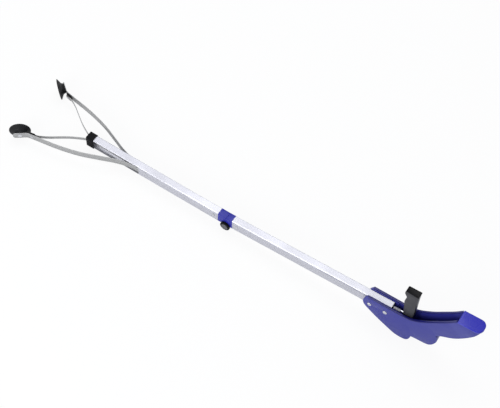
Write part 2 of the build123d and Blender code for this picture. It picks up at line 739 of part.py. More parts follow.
    with BuildPart() as cup:
        middle = rim_middle
        with BuildSketch(Plane(origin=spot(middle.X, middle.Y), x_dir=front.y_dir,
                               z_dir=front.y_dir.cross(cup_out))) as profile:
            with BuildLine():
                Line((cup_hole, cup_depth), (cup_back_radius, cup_depth))
                Line((cup_back_radius, cup_depth), (cup_back_radius + 0.5, cup_depth - 2.6))
                Spline((cup_back_radius + 0.5, cup_depth - 2.6), (cup_radius - 3.2, 3.2), (cup_radius, 1.3),
                       tangents=[(0.3, -1), (1, -0.5)])
                Line((cup_radius, 1.3), (cup_radius, 0))
                Line((cup_radius, 0), (cup_radius - cup_lip, 0))
                Spline((cup_radius - cup_lip, 0), (cup_back_radius, cup_depth - cup_floor - 0.9),
                       (4.4, cup_depth - cup_floor), tangents=[(-1, 0.9), (-1, 0)])
                Line((4.4, cup_depth - cup_floor), (cup_hole, cup_depth - cup_floor))
                Line((cup_hole, cup_depth - cup_floor), (cup_hole, cup_depth))
            make_face()
        revolve(axis=Axis(spot(middle.X, middle.Y), cup_out))
    save(cup.part, f"cup_{name}")

    with BuildPart() as cup_rivet:
        with BuildSketch(cup_plane(cup_depth - cup_floor - 0.9)):
            Circle(3.4)
        extrude(amount=0.9)
        with BuildSketch(cup_plane(cup_depth - cup_floor)):
            Circle(cup_hole)
        extrude(amount=cup_floor + band_thickness)
        with BuildSketch(cup_plane(cup_depth + band_thickness)):
            Circle(3.2)
        extrude(amount=1.0)
    save(cup_rivet.part, f"cup_rivet_{name}")

spring_back = bezel_back - 1
with BuildPart() as button_spring:
    with BuildSketch(across(rear, 0, -pivot_drop, spring_back)):
        Circle(3.6)
        Circle(2.6, mode=Mode.SUBTRACT)
    extrude(amount=button_back - spring_back)
save(button_spring.part, "button_spring")
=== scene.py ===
import json
import math

import bmesh
import bpy
from mathutils import Matrix, Vector
from mathutils.geometry import interpolate_bezier


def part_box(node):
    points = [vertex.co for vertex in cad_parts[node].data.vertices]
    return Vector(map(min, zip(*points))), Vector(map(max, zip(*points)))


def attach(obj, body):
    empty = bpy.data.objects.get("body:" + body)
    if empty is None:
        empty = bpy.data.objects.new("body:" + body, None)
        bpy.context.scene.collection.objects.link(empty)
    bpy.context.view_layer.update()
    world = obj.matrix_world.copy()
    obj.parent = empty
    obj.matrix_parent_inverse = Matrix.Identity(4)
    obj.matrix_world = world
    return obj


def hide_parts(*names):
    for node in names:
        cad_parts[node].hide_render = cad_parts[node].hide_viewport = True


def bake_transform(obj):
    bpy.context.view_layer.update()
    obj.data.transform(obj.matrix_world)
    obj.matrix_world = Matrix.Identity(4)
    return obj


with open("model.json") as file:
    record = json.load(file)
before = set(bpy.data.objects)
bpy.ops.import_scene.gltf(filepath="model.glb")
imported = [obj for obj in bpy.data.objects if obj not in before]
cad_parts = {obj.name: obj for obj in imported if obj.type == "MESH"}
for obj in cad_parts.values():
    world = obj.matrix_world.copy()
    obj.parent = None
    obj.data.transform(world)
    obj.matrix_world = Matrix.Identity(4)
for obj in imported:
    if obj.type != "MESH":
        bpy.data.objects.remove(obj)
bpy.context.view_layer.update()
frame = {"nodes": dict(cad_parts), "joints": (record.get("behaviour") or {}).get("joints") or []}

# ---- how the two halves lie ------------------------------------------------------------
# Metres.  Each half has its own frame: along the shaft from the fold, across, and up from
# the shaft's centre line.
FOLD_JOINT = next(joint for joint in frame["joints"] if joint["name"] == "fold")
PIVOT = Vector(FOLD_JOINT["pos_m"])
PIVOT_DROP = 0.0095     # pivot below the shafts' centre lines
FRONT_TILT = math.radians(1.0)
REAR_TILT = math.radians(4.5)
SHAFT_WIDTH = 0.012
SHAFT_HEIGHT = 0.021


def half(tilt):
    """Matrix from a half's own frame to the row frame."""
    lean = Matrix.Rotation(-tilt, 4, "Y")
    return Matrix.Translation(PIVOT) @ lean @ Matrix.Translation((0, 0, PIVOT_DROP))


FRONT = half(FRONT_TILT)
REAR = half(REAR_TILT)


# ---- shader groups ---------------------------------------------------------------------
def new_group(name, inputs, outputs):
    """An empty shader group with float or colour sockets."""
    group = bpy.data.node_groups.new(name, "ShaderNodeTree")
    for direction, sockets in (("INPUT", inputs), ("OUTPUT", outputs)):
        for socket, kind, value in sockets:
            made = group.interface.new_socket(socket, in_out=direction, socket_type=kind)
            if value is not None:
                made.default_value = value
    return group, group.nodes.new("NodeGroupInput"), group.nodes.new("NodeGroupOutput")


def link(tree, source, target):
    tree.links.new(source, target)


def node(tree, kind, **settings):
    made = tree.nodes.new(kind)
    for key, value in settings.items():
        setattr(made, key, value)
    return made


def grain_group():
    """Fine moulded grain: a height and a slow cloud for roughness."""
    group, start, end = new_group(
        "MouldedGrain",
        [("Scale", "NodeSocketFloat", 900.0), ("Cloud Scale", "NodeSocketFloat", 25.0)],
        [("Height", "NodeSocketFloat", None), ("Cloud", "NodeSocketFloat", None)])
    place = node(group, "ShaderNodeTexCoord")
    fine = node(group, "ShaderNodeTexNoise")
    fine.inputs["Detail"].default_value = 4.0
    cloud = node(group, "ShaderNodeTexNoise")
    cloud.inputs["Detail"].default_value = 2.0
    for texture, scale in ((fine, "Scale"), (cloud, "Cloud Scale")):
        link(group, place.outputs["Object"], texture.inputs["Vector"])
        link(group, start.outputs[scale], texture.inputs["Scale"])
    link(group, fine.outputs["Fac"], end.inputs["Height"])
    link(group, cloud.outputs["Fac"], end.inputs["Cloud"])
    return group


def wear_group():
    """Light rubbing along sharp edges, broken up by noise."""
    group, start, end = new_group(
        "EdgeWear",
        [("Amount", "NodeSocketFloat", 0.5), ("Scale", "NodeSocketFloat", 300.0)],
        [("Mask", "NodeSocketFloat", None)])
    place = node(group, "ShaderNodeTexCoord")
    shape = node(group, "ShaderNodeNewGeometry")
    edge = node(group, "ShaderNodeMapRange")
    edge.inputs["From Min"].default_value = 0.52
    edge.inputs["From Max"].default_value = 0.62
    chips = node(group, "ShaderNodeTexNoise")
    chips.inputs["Detail"].default_value = 5.0
    broken = node(group, "ShaderNodeMath", operation="MULTIPLY")
    mask = node(group, "ShaderNodeMath", operation="MULTIPLY", use_clamp=True)
    link(group, shape.outputs["Pointiness"], edge.inputs["Value"])
    link(group, place.outputs["Object"], chips.inputs["Vector"])
    link(group, start.outputs["Scale"], chips.inputs["Scale"])
    link(group, edge.outputs["Result"], broken.inputs[0])
    link(group, chips.outputs["Fac"], broken.inputs[1])
    link(group, broken.outputs["Value"], mask.inputs[0])
    link(group, start.outputs["Amount"], mask.inputs[1])
    link(group, mask.outputs["Value"], end.inputs["Mask"])
    return group


LINE_STRETCH = 80.0     # how much longer than wide the drawing lines are


def drawn_group():
    """Long thin lines along X, as drawing or rolling leaves them in metal."""
    group, start, end = new_group(
        "DrawnLines",
        [("Fineness", "NodeSocketFloat", 1800.0), ("Turn", "NodeSocketVector", None)],
        [("Lines", "NodeSocketFloat", None), ("Cloud", "NodeSocketFloat", None)])
    place = node(group, "ShaderNodeTexCoord")
    stretch = node(group, "ShaderNodeMapping", vector_type="TEXTURE")
    stretch.inputs["Scale"].default_value = (LINE_STRETCH, 1.0, 1.0)
    link(group, start.outputs["Turn"], stretch.inputs["Rotation"])
    lines = node(group, "ShaderNodeTexNoise")
    lines.inputs["Detail"].default_value = 3.0
    cloud = node(group, "ShaderNodeTexNoise")
    cloud.inputs["Scale"].default_value = 18.0
    link(group, place.outputs["Object"], stretch.inputs["Vector"])
    link(group, stretch.outputs["Vector"], lines.inputs["Vector"])
    link(group, start.outputs["Fineness"], lines.inputs["Scale"])
    link(group, place.outputs["Object"], cloud.inputs["Vector"])
    link(group, lines.outputs["Fac"], end.inputs["Lines"])
    link(group, cloud.outputs["Fac"], end.inputs["Cloud"])
    return group


GRAIN = grain_group()
WEAR = wear_group()
DRAWN = drawn_group()


# ---- materials -------------------------------------------------------------------------
def blank(name):
    material = bpy.data.materials.new(name)
    material.use_nodes = True
    return material, material.node_tree, material.node_tree.nodes["Principled BSDF"]


def put_group(tree, group, **values):
    placed = node(tree, "ShaderNodeGroup", node_tree=group)
    for key, value in values.items():
        placed.inputs[key.replace("_", " ")].default_value = value
    return placed


def span(tree, source, low, high):
    """Spread a 0 to 1 value over a range."""
    spread = node(tree, "ShaderNodeMapRange")
    spread.inputs["From Min"].default_value = 0.3
    spread.inputs["From Max"].default_value = 0.7
    spread.inputs["To Min"].default_value = low
    spread.inputs["To Max"].default_value = high
    link(tree, source, spread.inputs["Value"])
    return spread.outputs["Result"]


def bumped(tree, shader, height, strength, depth):
    bump = node(tree, "ShaderNodeBump")
    bump.inputs["Strength"].default_value = strength
    bump.inputs["Distance"].default_value = depth
    link(tree, height, bump.inputs["Height"])
    link(tree, bump.outputs["Normal"], shader.inputs["Normal"])


def two_tone(tree, shader, mask, base, other):
    mix = node(tree, "ShaderNodeMix", data_type="RGBA")
    mix.inputs["A"].default_value = (*base, 1)
    mix.inputs["B"].default_value = (*other, 1)
    link(tree, mask, mix.inputs["Factor"])
    link(tree, mix.outputs["Result"], shader.inputs["Base Color"])


def moulded(name, base, worn, rough, grain=900.0, wear=0.5, bump=0.12, gloss=0.5, coat=0.0):
    """Moulded plastic or rubber: grain, uneven sheen and rubbed edges."""
    material, tree, shader = blank(name)
    texture = put_group(tree, GRAIN, Scale=grain, Cloud_Scale=22.0)
    edges = put_group(tree, WEAR, Amount=wear, Scale=350.0)
    two_tone(tree, shader, edges.outputs["Mask"], base, worn)
    link(tree, span(tree, texture.outputs["Cloud"], rough - 0.06, rough + 0.08), shader.inputs["Roughness"])
    bumped(tree, shader, texture.outputs["Height"], bump, 0.0002)
    shader.inputs["Specular IOR Level"].default_value = gloss
    shader.inputs["Coat Weight"].default_value = coat
    shader.inputs["Coat Roughness"].default_value = 0.12
    return material


def drawn(name, dark, light, rough, metallic=1.0, fineness=1800.0, bump=0.03, tilt=0.0):
    """Metal with drawing lines along X and slow changes of tone."""
    material, tree, shader = blank(name)
    texture = put_group(tree, DRAWN, Fineness=fineness, Turn=(0, -tilt, 0))
    two_tone(tree, shader, span(tree, texture.outputs["Lines"], 0.0, 1.0), dark, light)
    link(tree, span(tree, texture.outputs["Cloud"], rough - 0.05, rough + 0.07), shader.inputs["Roughness"])
    bumped(tree, shader, texture.outputs["Lines"], bump, 0.00008)
    shader.inputs["Metallic"].default_value = metallic
    return material


blue = moulded("royal_blue_shell", (0.030, 0.033, 0.26), (0.09, 0.10, 0.40), 0.34,
               wear=0.35, gloss=0.35, coat=0.12)
# Painted shade: a darker copy of the shell's blue for the rim lips, standing for the shade that falls on the
# rim.
rim_shade_blue = moulded("royal_blue_rim_painted_shade", (0.006, 0.006, 0.12), (0.03, 0.033, 0.22), 0.36,
                   wear=0.5, gloss=0.3, coat=0.12)
# Painted light: a brighter, more saturated copy of the shell's blue for the end cap, where it faces up into
# the light.
lid_lit_blue = moulded("royal_blue_lid_painted_light", (0.014, 0.015, 0.40), (0.06, 0.065, 0.55), 0.28,
                   wear=0.4, gloss=0.35, coat=0.2)
blue_block = moulded("royal_blue_block", (0.010, 0.012, 0.27), (0.05, 0.055, 0.42), 0.36, wear=0.5, gloss=0.3)
black = moulded("black_moulding", (0.004, 0.004, 0.0045), (0.02, 0.02, 0.022), 0.55, wear=0.3, gloss=0.1)
lever = moulded("trigger_black", (0.032, 0.032, 0.036), (0.08, 0.08, 0.085), 0.40,
                grain=1200.0, bump=0.2, gloss=0.3)
lever_end = moulded("trigger_end_black", (0.003, 0.003, 0.004), (0.03, 0.03, 0.033), 0.30,
                    bump=0.06, gloss=0.12)
knob_grey = moulded("button_grey", (0.10, 0.10, 0.11), (0.2, 0.2, 0.21), 0.42, gloss=0.3)
rubber = moulded("cup_rubber", (0.005, 0.005, 0.006), (0.03, 0.03, 0.033), 0.50,
                 grain=600.0, wear=0.5, bump=0.25, gloss=0.25)
ANODISED = ((0.50, 0.50, 0.545), (0.56, 0.56, 0.605), 0.34)
aluminium_rear = drawn("anodised_rear_shaft", *ANODISED, metallic=0.45, tilt=REAR_TILT)
aluminium_front = drawn("anodised_front_shaft", *ANODISED, metallic=0.45, tilt=FRONT_TILT)
strip = drawn("spring_strip", (0.34, 0.34, 0.335), (0.44, 0.44, 0.435), 0.42, metallic=0.5, fineness=2600.0)
strand = drawn("cable_strand", (0.45, 0.45, 0.46), (0.62, 0.62, 0.63), 0.3)
plated = drawn("plated_steel", (0.62, 0.62, 0.64), (0.76, 0.76, 0.78), 0.18, fineness=900.0, bump=0.03)
coil_white = drawn("bright_coil", (0.78, 0.78, 0.78), (0.9, 0.9, 0.9), 0.35, metallic=0.0)

NODE_FINISH = {
    "handle_shell": blue, "end_cap": lid_lit_blue, "rear_hinge_block": blue_block,
    "front_hinge_block": blue_block, "trigger": lever, "release_button": knob_grey,
    "rear_shaft": aluminium_rear, "front_shaft": aluminium_front, "cable_link": strand,
    "rear_cable": strand, "front_cable": strand, "cable_crimp": strand, "cable_clevis": plated,
}
# The black tip pads are painted shade: black parts set where the band ends at the jaw tips are only in shade.
BLACK_NODES = ("nose_cap", "button_bezel", "shaft_guide", "root_block", "pull_slider",
               "tip_pad_near", "tip_pad_far")
STRIP_NODES = ("outer_band", "inner_band", "inner_tail", "band_root")
for name, item in frame["nodes"].items():
    finish = NODE_FINISH.get(name)
    if name in BLACK_NODES:
        finish = black
    elif name.startswith(STRIP_NODES):
        finish = strip
    elif name in ("cup_near", "cup_far"):
        finish = rubber
    item.data.materials.clear()
    item.data.materials.append(finish or plated)


# ---- making pieces ---------------------------------------------------------------------
def finished(name, work, finish, body, replaced=(), smooth=40.0):
    """Turn a bmesh into a shown piece that rides on a body."""
    mesh = bpy.data.meshes.new(name)
    bmesh.ops.recalc_face_normals(work, faces=work.faces)
    work.to_mesh(mesh)
    work.free()
    mesh.materials.append(finish)
    mesh.shade_smooth()
    mesh.set_sharp_from_angle(angle=math.radians(smooth))
    piece = bpy.data.objects.new(name, mesh)
    bpy.context.scene.collection.objects.link(piece)
    if body:
        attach(piece, body)
    if replaced:
        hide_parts(*replaced)
    return piece


def cad_copy(cad_node):
    """The CAD shape as a bmesh, with the facets of its flat faces joined."""
    work = bmesh.new()
    work.from_mesh(frame["nodes"][cad_node].data)
    bmesh.ops.remove_doubles(work, verts=work.verts, dist=1e-6)
    bmesh.ops.dissolve_limit(work, angle_limit=math.radians(0.6), verts=work.verts, edges=work.edges)
    return work


def ease_edges(work, radius, sharp, segments):
    """Round over the edges that turn by more than an angle in degrees."""
    hard = [edge for edge in work.edges if edge.calc_face_angle(0) > math.radians(sharp)]
    bmesh.ops.bevel(work, geom=hard, offset=radius, offset_type="OFFSET", affect="EDGES",
                    segments=segments, profile=0.5, material=-1, clamp_overlap=True)


def split_large_faces(work):
    """Triangulate the faces with more than four corners."""
    bmesh.ops.triangulate(work, faces=[face for face in work.faces if len(face.verts) > 4])


def softened(cad_node, radius, finish, body, sharp=35.0, segments=3):
    """The CAD shape with its hard edges rounded over."""
    work = cad_copy(cad_node)
    ease_edges(work, radius, sharp, segments)
    split_large_faces(work)
    return finished(cad_node + "_moulded", work, finish, body, [cad_node], smooth=50.0)


def lathed(name, outline, place, finish, body, replaced=(), steps=64):
    """Spin an outline of (radius, height) points about Z, then put it in place."""
    work = bmesh.new()
    ring = [work.verts.new((radius, 0, height)) for radius, height in outline]
    chain = [work.edges.new(pair) for pair in zip(ring, ring[1:])]
    bmesh.ops.spin(work, geom=ring + chain, axis=(0, 0, 1), cent=(0, 0, 0),
                   angle=math.tau, steps=steps, use_merge=True)
    bmesh.ops.remove_doubles(work, verts=work.verts, dist=1e-7)
    bmesh.ops.transform(work, matrix=place, verts=work.verts)
    return finished(name, work, finish, body, replaced)


def wound(radius, wire, turns, length, steps_a_turn):
    """A wire wound about Z, from the origin upwards."""
    steps = steps_a_turn * turns
    work = bmesh.new()
    bmesh.ops.create_circle(work, segments=8, radius=wire,
                            matrix=Matrix.Translation((radius, 0, 0)) @ Matrix.Rotation(math.pi / 2, 4, "X"))
    bmesh.ops.spin(work, geom=work.verts[:] + work.edges[:], axis=(0, 0, 1), cent=(0, 0, 0),
                   dvec=(0, 0, length / steps), angle=math.tau * turns, steps=steps, use_merge=False)
    bmesh.ops.holes_fill(work, edges=work.edges, sides=0)
    return work


def coil(name, start, end, radius, wire, turns, finish, replaced):
    """Helical spring between two points."""
    axis = Vector(end) - Vector(start)
    work = wound(radius, wire, turns, axis.length, 20)
    turn = axis.to_track_quat("Z", "Y").to_matrix().to_4x4()
    bmesh.ops.transform(work, matrix=Matrix.Translation(start) @ turn, verts=work.verts)
    piece = finished(name, work, finish, None, replaced, smooth=80.0)
    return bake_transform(piece)


def ribbon(name, line, rise, thickness, finish, body=None, replaced=(), round_end=0.0):
    """Strip: a line of points drawn out along rise, then given its thickness and eased edges."""
    work = bmesh.new()
    dots = [work.verts.new(point) for point in line]
    chain = [work.edges.new(pair) for pair in zip(dots, dots[1:])]
    drawn_out = bmesh.ops.extrude_edge_only(work, edges=chain)
    fresh = [item for item in drawn_out["geom"] if isinstance(item, bmesh.types.BMVert)]
    bmesh.ops.translate(work, vec=rise, verts=fresh)
    bmesh.ops.recalc_face_normals(work, faces=work.faces)
    if round_end:
        corners = (line[-1], line[-1] + rise)
        last = [vert for vert in work.verts
                if min((vert.co - corner).length for corner in corners) < 1e-6]
        bmesh.ops.bevel(work, geom=last, offset=round_end, offset_type="OFFSET", affect="VERTICES",
                        segments=5, profile=0.5, material=-1)
    bmesh.ops.solidify(work, geom=work.faces[:], thickness=thickness)
    ease_edges(work, thickness * 0.25, 60, 2)
    return finished(name, work, finish, body, replaced, smooth=45.0)


def smooth_line(points, way_in, way_out, steps=10):
    """Points along a smooth curve through the given ones, with the end directions given."""
    points = [Vector(point) for point in points]
    ways = [Vector(way_in).normalized()]
    ways += [(after - before).normalized() for before, after in zip(points, points[2:])]
    ways.append(Vector(way_out).normalized())
    line = [points[0]]
    for here, there, leave, arrive in zip(points, points[1:], ways, ways[1:]):
        reach = (there - here).length / 3
        line += interpolate_bezier(here, here + leave * reach, there - arrive * reach, there, steps + 1)[1:]
    return line


def channel_bar(work, outline, place, start, end):
    """Draw a closed outline of (across, up) points out along the shaft."""
    dots = [work.verts.new(place @ Vector((start, across, up))) for across, up in outline]
    loop = [work.edges.new((dots[i - 1], dots[i])) for i in range(len(dots))]
    face = bmesh.ops.contextual_create(work, geom=loop)["faces"]
    more = bmesh.ops.extrude_face_region(work, geom=face, use_keep_orig=True)
    fresh = [item for item in more["geom"] if isinstance(item, bmesh.types.BMVert)]
    way = place.to_3x3() @ Vector((end - start, 0, 0))
    bmesh.ops.translate(work, vec=way, verts=fresh)


# ---- shafts ----------------------------------------------------------------------------
HALF_W = SHAFT_WIDTH / 2
HALF_H = SHAFT_HEIGHT / 2
WALL = 0.001
CORNER = 0.0011
SEAM_UP = 0.006         # height at which a tube's two halves meet
GROOVE_TOP = 0.0091
GROOVE_HEIGHT = 0.0020
GROOVE_DEPTH = 0.0008
WINDOW_EDGE = 0.0014
REAR_PLAIN = (0.012, 0.165)
REAR_GROOVED = (0.165, 0.2896)
FRONT_SPAN = (-0.166, -0.015)
WINDOW_SPAN = (-0.266, -0.166)


def broken_corner(across, up, start):
    """Broken corner, drawn anticlockwise from a start angle in degrees."""
    turns = [math.radians(start), math.radians(start + 90)]
    return [(across + CORNER * math.cos(t), up + CORNER * math.sin(t)) for t in turns]


def side_line(way):
    """Outline of a side wall with its groove, on the +Y or -Y side."""
    deep = HALF_W - GROOVE_DEPTH
    low = GROOVE_TOP - GROOVE_HEIGHT
    return [(way * HALF_W, low), (way * deep, low), (way * deep, GROOVE_TOP), (way * HALF_W, GROOVE_TOP)]


def tube_walls(work, place, start, end, grooved):
    """Square tube as an upper and a lower half, with a groove near the top of each side if wanted."""
    inner_w, inner_h = HALF_W - WALL, HALF_H - WALL
    left, right = (side_line(1), side_line(-1)[::-1]) if grooved else ([], [])
    top = ([(inner_w, SEAM_UP), (HALF_W, SEAM_UP)] + left
           + broken_corner(HALF_W - CORNER, HALF_H - CORNER, 0)
           + broken_corner(CORNER - HALF_W, HALF_H - CORNER, 90)
           + right + [(-HALF_W, SEAM_UP), (-inner_w, SEAM_UP), (-inner_w, inner_h), (inner_w, inner_h)])
    channel_bar(work, top, place, start, end)
    rest = ([(-inner_w, SEAM_UP), (-HALF_W, SEAM_UP)]
            + broken_corner(CORNER - HALF_W, CORNER - HALF_H, 180)
            + broken_corner(HALF_W - CORNER, CORNER - HALF_H, 270)
            + [(HALF_W, SEAM_UP), (inner_w, SEAM_UP), (inner_w, -inner_h), (-inner_w, -inner_h)])
    channel_bar(work, rest, place, start, end)


def window_rails(work, place, start, end):
    """Top and bottom rails that are left where the side walls are cut away."""
    inner_w, inner_h = HALF_W - WALL, HALF_H - WALL
    edge = HALF_H - WINDOW_EDGE
    rail = ([(HALF_W, edge)] + broken_corner(HALF_W - CORNER, HALF_H - CORNER, 0)
            + broken_corner(CORNER - HALF_W, HALF_H - CORNER, 90)
            + [(-HALF_W, edge), (-inner_w, edge), (-inner_w, inner_h), (inner_w, inner_h), (inner_w, edge)])
    channel_bar(work, rail, place, start, end)
    channel_bar(work, [(across, -up) for across, up in rail], place, start, end)


def shafts():
    """The two square tubes: plain, grooved, and cut away for the bands."""
    work = bmesh.new()
    tube_walls(work, REAR, *REAR_PLAIN, grooved=False)
    tube_walls(work, REAR, *REAR_GROOVED, grooved=True)
    finished("rear_shaft_drawn", work, aluminium_rear, "handle", ["rear_shaft"])
    work = bmesh.new()
    tube_walls(work, FRONT, *FRONT_SPAN, grooved=False)
    window_rails(work, FRONT, *WINDOW_SPAN)
    finished("front_shaft_drawn", work, aluminium_front, "front", ["front_shaft"])


# ---- jaws ------------------------------------------------------------------------------
BAND_WIDTH = 0.0118
BAND_THICK = 0.0009
INNER_WIDTH = 0.006
INNER_THICK = 0.0006
CUP_LEAN = math.radians(52.3)
CUP_RADIUS = 0.0174
CUP_DEPTH = 0.0097
RIM_MIDDLE = Vector((-0.3679, 0.0503, 0))
TIP_STRAIGHT = (Vector((-0.334, 0.0479, 0)), Vector((-0.3465, 0.0499, 0)))
ROOT_ACROSS = 0.0043    # outer bands from the middle, inside the shaft
ROOT_SPAN = (-0.145, -0.160)
OUTER_BOW = [(-0.176, ROOT_ACROSS, 0), (-0.204, 0.010, 0), (-0.232, 0.0211, 0), (-0.2629, 0.033, 0),
             (-0.297, 0.0417, 0), TIP_STRAIGHT[0]]
INNER_BOW = [(-0.2562, 0.0011, 0), (-0.268, 0.0032, 0), (-0.280, 0.0085, 0), (-0.295, 0.017, 0),
             (-0.310, 0.0275, 0), (-0.326, 0.0385, 0)]
TAB_BACK = 0.009        # tab on the cup's back: from the cup's middle each way
TAB_REACH = 0.011
SEAT_BACK = 0.0024      # inner band's seat under the tip pad: back from the straight's end,
SEAT_IN = 0.00395       # in from the outer band's middle,
SEAT_BEND = 0.0043      # back to its bend, and on to its end
SEAT_REACH = 0.0048
TAB_ROUND = 0.0045
OUTER_FLEX = (-0.168, -0.190)   # where each band bends when the jaws close
INNER_FLEX = (-0.256, -0.330)
CUP_BACKWARD = Vector((math.cos(CUP_LEAN), math.sin(CUP_LEAN), 0))
CUP_FORWARD = Vector((-math.sin(CUP_LEAN), math.cos(CUP_LEAN), 0))


def outer_line():
    """Plan of an outer band from its root, round the tip and along the cup's back."""
    flat = TIP_STRAIGHT[1] - TIP_STRAIGHT[0]
    line = [Vector((along, ROOT_ACROSS, 0)) for along in ROOT_SPAN]
    line += smooth_line(OUTER_BOW, (-1, 0, 0), flat)
    tab = RIM_MIDDLE + CUP_BACKWARD * (CUP_DEPTH + BAND_THICK / 2)
    line += smooth_line([TIP_STRAIGHT[1], tab - CUP_FORWARD * TAB_BACK], flat, CUP_FORWARD)
    line.append(tab + CUP_FORWARD * TAB_REACH)
    return line


def inner_line():
    """Plan of an inner band from the nose to its seat under the tip pad."""
    flat = (TIP_STRAIGHT[1] - TIP_STRAIGHT[0]).normalized()
    inward = Vector((-flat.y, flat.x, 0))
    seat = TIP_STRAIGHT[1] - flat * SEAT_BACK + inward * SEAT_IN
    bend = seat - flat * SEAT_BEND
    return smooth_line([*INNER_BOW, bend], (-1, 0, 0), flat) + [seat + flat * SEAT_REACH]


def strip_from(name, plan, side, width, thick, replaced, jaw, start_x, end_x, round_end=0.0):
    """A jaw's strip, which bends from the shaft into the jaw."""
    line = [FRONT @ Vector((point.x, side * point.y, -width / 2)) for point in plan]
    rise = FRONT.to_3x3() @ Vector((0, 0, width))
    piece = ribbon(name, line, rise, thick, strip, None, replaced, round_end)
    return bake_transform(piece)


def cup_place(side):
    """Matrix whose Z runs out of the cup's back, from the middle of its rim."""
    middle = FRONT @ Vector((RIM_MIDDLE.x, side * RIM_MIDDLE.y, 0))
    out = FRONT.to_3x3() @ Vector((CUP_BACKWARD.x, side * CUP_BACKWARD.y, 0))
    return Matrix.Translation(middle) @ out.to_track_quat("Z", "Y").to_matrix().to_4x4()


CUP_OUTLINE = [
    (0.0016, CUP_DEPTH), (0.0076, CUP_DEPTH), (0.0083, 0.0094), (0.0086, 0.0086), (0.0089, 0.0071),
    (0.0100, 0.0056), (0.0118, 0.0044), (0.0136, 0.0034), (0.0155, 0.0022), (0.0170, 0.0013),
    (CUP_RADIUS, 0.0008), (0.0173, 0.0002), (0.0168, 0.0), (0.0160, 0.0002), (0.0154, 0.0009),
    (0.0147, 0.0016), (0.0140, 0.0017), (0.0134, 0.0022), (0.0126, 0.0029), (0.0119, 0.0029),
    (0.0112, 0.0035), (0.0104, 0.0041), (0.0096, 0.0040), (0.0088, 0.0045), (0.0076, 0.0050),
    (0.0060, 0.0052), (0.0044, 0.0052), (0.0016, 0.0052), (0.0016, CUP_DEPTH)]


def jaws():
    """Both jaws: outer and inner strip, ribbed cup, and the black tip pad that is painted shade."""
    for tag, side in (("near", -1), ("far", 1)):
        jaw = "jaw_" + tag
        strip_from("outer_strip_" + tag, outer_line(), side, BAND_WIDTH, BAND_THICK,
                   ["outer_band_" + tag, "band_root_" + tag], jaw, *OUTER_FLEX, TAB_ROUND)
        strip_from("inner_strip_" + tag, inner_line(), side, INNER_WIDTH, INNER_THICK,
                   ["inner_band_" + tag], jaw, *INNER_FLEX)
        lathed("ribbed_cup_" + tag, CUP_OUTLINE, cup_place(side), rubber, jaw, ["cup_" + tag])
        # Black tip pad: painted shade at the band ends of the tip, given as a black part.
        softened("tip_pad_" + tag, 0.0004, black, jaw, sharp=50.0, segments=2)


# ---- fold ------------------------------------------------------------------------------
DISH_DEPTH = 0.0008     # the button's rim above its middle
BUTTON_OUTLINE = [(0.0, 0.0), (0.0024, 0.0001), (0.0034, 0.0004), (0.0038, 0.0007), (0.0044, DISH_DEPTH),
                  (0.0050, 0.0007), (0.0054, 0.0004), (0.0056, 0.0), (0.0056, -0.0008), (0.0012, -0.0008),
                  (0.0012, -0.0116), (0.0, -0.0116)]
LINK_SPAN = (-0.0190, 0.0245)
LINK_RADIUS = 0.00122
LINK_WIRE = 0.00024
LINK_TURNS = 84
CABLE_DROP = 0.0045
CABLE_TURN_X = 0.018    # where the rear cable starts to climb
CABLE_CLIMB = math.tan(math.radians(2.007))


def on_cable(along, offset=(0, 0, 0)):
    """Point on or beside the cable's line, in the row frame."""
    place = REAR if along > 0 else FRONT
    up = max(0.0, along - CABLE_TURN_X) * CABLE_CLIMB - CABLE_DROP
    return place @ (Vector((along, 0, up)) + Vector(offset))


def cable_link_coil():
    """Close coil that joins the cables over the fold: it bends there, and they slide inside it."""
    work = wound(LINK_RADIUS, LINK_WIRE, LINK_TURNS, LINK_SPAN[1] - LINK_SPAN[0], 14)
    lay_down = Matrix.Translation((LINK_SPAN[0], 0, 0)) @ Matrix.Rotation(math.pi / 2, 4, "Y")
    bmesh.ops.transform(work, matrix=lay_down, verts=work.verts)
    for vert in work.verts:
        vert.co = on_cable(vert.co.x, (0, vert.co.y, vert.co.z))
    piece = finished("cable_link_coil", work, strand, None, ["cable_link"], smooth=80.0)
    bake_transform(piece)


def fold_parts():
    """The fold: cable link, button and blocks, and the nose cap at the front shaft's end."""
    cable_link_coil()
    low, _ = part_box("release_button")
    face = Vector((PIVOT.x, low.y + DISH_DEPTH, PIVOT.z))
    outward = Vector((0, -1, 0)).to_track_quat("Z", "Y").to_matrix().to_4x4()
    lathed("dished_button", BUTTON_OUTLINE, Matrix.Translation(face) @ outward, knob_grey,
           "release_button", ["release_button"])
    softened("rear_hinge_block", 0.0006, blue_block, "handle")
    softened("front_hinge_block", 0.0006, blue_block, "front")
    softened("nose_cap", 0.0005, black, "front")


# ---- handle ----------------------------------------------------------------------------
RIM_LINE = [(0.300, 0.011), (0.322, 0.0125), (0.3443, 0.027), (0.365, 0.047), (0.3784, 0.061), (0.388, 0.073)]
RIM_WIDTH = 0.0036
RIM_PROUD = 0.0004
RIM_THICK = 0.0012
RIM_RAISE = 0.0007      # middle of the lip above the wall's top
RIM_START = (0.2525, 0.0125)
HANDLE_HALF = 0.0103
END_FRAME = 0.0014      # frame round the lever's end face, and how deep the face is sunk
END_SINK = 0.0008
END_BAND = 0.0022       # height of the end that is in the darker black
LEVER_EDGE = 0.0005
TRIGGER_COIL = ((0.2908, 0, 0.00506), (0.3029, 0, 0.00548))


def rim_bands():
    """Thick lip that lies along the top of each of the handle's walls, in a darker blue that is painted
    shade.
    """
    for tag, side in (("near", -1), ("far", 1)):
        across = side * (HANDLE_HALF + RIM_PROUD)
        top = smooth_line([(along, across, up) for along, up in RIM_LINE], (1, 0, 0.0), (1, 0, 1.2))
        start = Vector((RIM_START[0], across, RIM_START[1]))
        line = [start, start.lerp(top[0], 0.5)] + top
        ribbon("rim_band_" + tag, [REAR @ (point + Vector((0, 0, RIM_RAISE))) for point in line],
               Vector((0, -side * RIM_WIDTH, 0)), RIM_THICK, rim_shade_blue, "handle")


